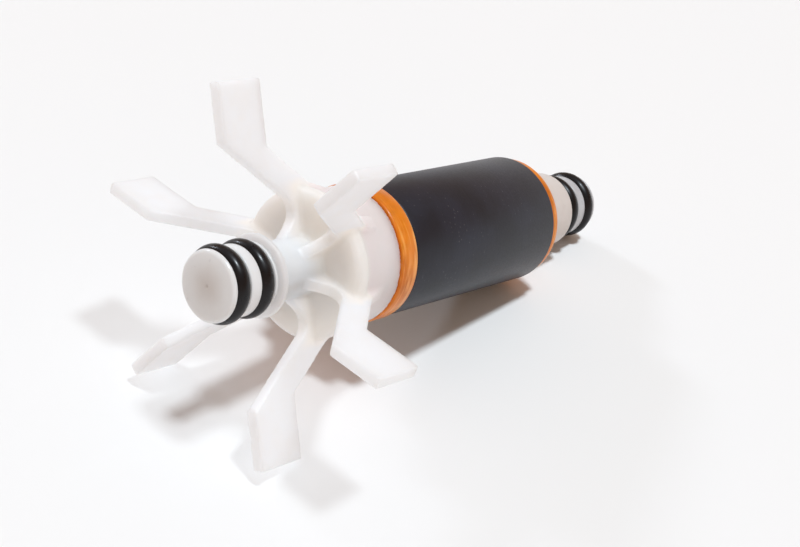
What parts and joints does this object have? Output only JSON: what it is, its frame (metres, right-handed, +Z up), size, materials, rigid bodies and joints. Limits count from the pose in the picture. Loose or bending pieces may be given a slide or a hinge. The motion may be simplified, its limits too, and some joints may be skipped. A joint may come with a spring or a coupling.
{
  "type": "wave maker pump rotor",
  "caption": "Rotor of a wave maker pump: flat-bladed radial impeller and ferrite magnet on one shaft, with O-ringed caps that seat its ends in the pump's housing.",
  "frame": {"origin": "centre of the bottom of the bounding box, on the surface that the rotor lies on", "axes": "+Z up; +Y along the rotor's length from the front cap to the rear cap, level with the surface; the shaft leans 13.8 degrees, front end up"},
  "size_m": [0.0528, 0.0874, 0.047],
  "materials": {
    "shaft_ceramic": "ground ceramic, satin",
    "cap_plastic": "milky white, softly glossy",
    "o_ring_rubber": "black, wet-looking gloss",
    "washer_plastic": "white, smooth",
    "bushing_ceramic": "ground ceramic, satin",
    "magnet_ferrite": "sintered ferrite, charcoal, matte with a faint sheen",
    "ring_resin": "cast amber-orange resin, glossy, slightly streaked",
    "core_plastic": "moulded, off-white with a pink cast",
    "impeller_plastic": "translucent milky white moulding, soft sheen"
  },
  "bodies": {
    "shaft": {"shaft": "shaft_ceramic", "front_thrust_washer": "washer_plastic", "rear_thrust_washer": "washer_plastic"},
    "magnet_rotor": {"magnet": "magnet_ferrite", "front_resin_ring": "ring_resin", "rear_resin_ring": "ring_resin", "magnet_core": "core_plastic", "rear_collar": "core_plastic", "drive_dog": "core_plastic", "core_front_bushing": "bushing_ceramic", "core_rear_bushing": "bushing_ceramic"},
    "impeller": {"impeller_hub": "impeller_plastic", "impeller_bushing": "bushing_ceramic", "impeller_blade_1": "impeller_plastic", "impeller_blade_2": "impeller_plastic", "impeller_blade_3": "impeller_plastic", "impeller_blade_4": "impeller_plastic", "impeller_blade_5": "impeller_plastic", "impeller_blade_6": "impeller_plastic"},
    "front_cap": {"front_cap": "cap_plastic", "front_o_ring_outer": "o_ring_rubber", "front_o_ring_inner": "o_ring_rubber"},
    "rear_cap": {"rear_cap": "cap_plastic", "rear_o_ring_inner": "o_ring_rubber", "rear_o_ring_outer": "o_ring_rubber"}
  },
  "joints": [
    {"name": "rotor_spin", "type": "hinge", "parent": "shaft", "child": "magnet_rotor", "pos_m": [0, -0.04258, 0.0258], "axis": [0, 0.971, -0.2393], "continuous": true},
    {"name": "impeller_lost_motion", "type": "hinge", "parent": "magnet_rotor", "child": "impeller", "pos_m": [0, -0.04258, 0.0258], "axis": [0, 0.971, -0.2393], "range_deg": [-132, 132]},
    {"name": "front_cap_pull", "type": "slide", "parent": "shaft", "child": "front_cap", "axis": [0, -0.971, 0.2393], "range_m": [0, 0.01]},
    {"name": "rear_cap_pull", "type": "slide", "parent": "shaft", "child": "rear_cap", "axis": [0, 0.971, -0.2393], "range_m": [0, 0.01]}
  ]
}
